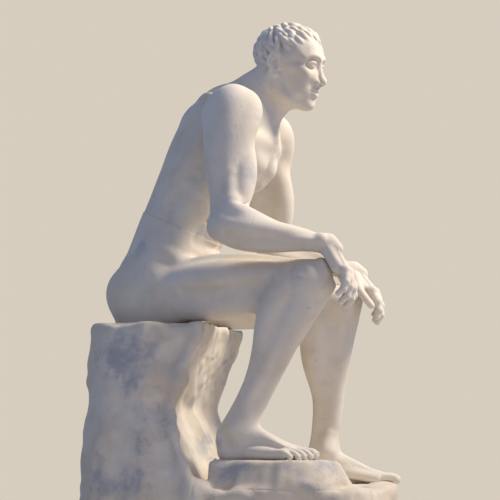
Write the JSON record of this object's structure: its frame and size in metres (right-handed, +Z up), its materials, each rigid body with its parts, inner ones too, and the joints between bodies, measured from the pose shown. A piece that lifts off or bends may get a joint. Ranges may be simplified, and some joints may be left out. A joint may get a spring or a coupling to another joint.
{
  "type": "seated figure statue",
  "caption": "Large plaster statue of a seated nude figure on a rock, forearms resting on its thighs and hands over its knees; hollow cast sections on a steel armature.",
  "frame": {"origin": "centre of the rock's flat underside, where the statue stands", "axes": "+X the way the figure faces, +Y towards its left side, +Z up"},
  "size_m": [0.9991, 0.8226, 1.7596],
  "materials": {
    "plaster_figure": "cast plaster, fine sanded and matt",
    "plaster_rock": "cast plaster, rough tooled and matt",
    "armature_steel": "mill scale bar"
  },
  "bodies": {
    "root": {"ankle_dowels": "armature_steel", "base_plate": "armature_steel", "elbow_dowels": "armature_steel", "foot_dowels": "armature_steel", "head": "plaster_figure", "hip_dowels": "armature_steel", "knee_dowels": "armature_steel", "left_foot": "plaster_figure", "left_forearm": "plaster_figure", "left_forearm_rod": "armature_steel", "left_hand": "plaster_figure", "left_shin": "plaster_figure", "left_shin_rod": "armature_steel", "left_thigh": "plaster_figure", "left_thigh_rod": "armature_steel", "left_upper_arm": "plaster_figure", "left_upper_arm_rod": "armature_steel", "main_post": "armature_steel", "neck_rod": "armature_steel", "pelvis": "plaster_figure", "right_foot": "plaster_figure", "right_forearm": "plaster_figure", "right_forearm_rod": "armature_steel", "right_hand": "plaster_figure", "right_shin": "plaster_figure", "right_shin_rod": "armature_steel", "right_thigh": "plaster_figure", "right_thigh_rod": "armature_steel", "right_upper_arm": "plaster_figure", "right_upper_arm_rod": "armature_steel", "rock_dowels": "armature_steel", "rock_front": "plaster_rock", "rock_seat": "plaster_rock", "rock_step": "plaster_rock", "shoulder_dowels": "armature_steel", "spine_rod": "armature_steel", "torso": "plaster_figure", "waist_dowels": "armature_steel", "wrist_dowels": "armature_steel"}
  },
  "joints": []
}
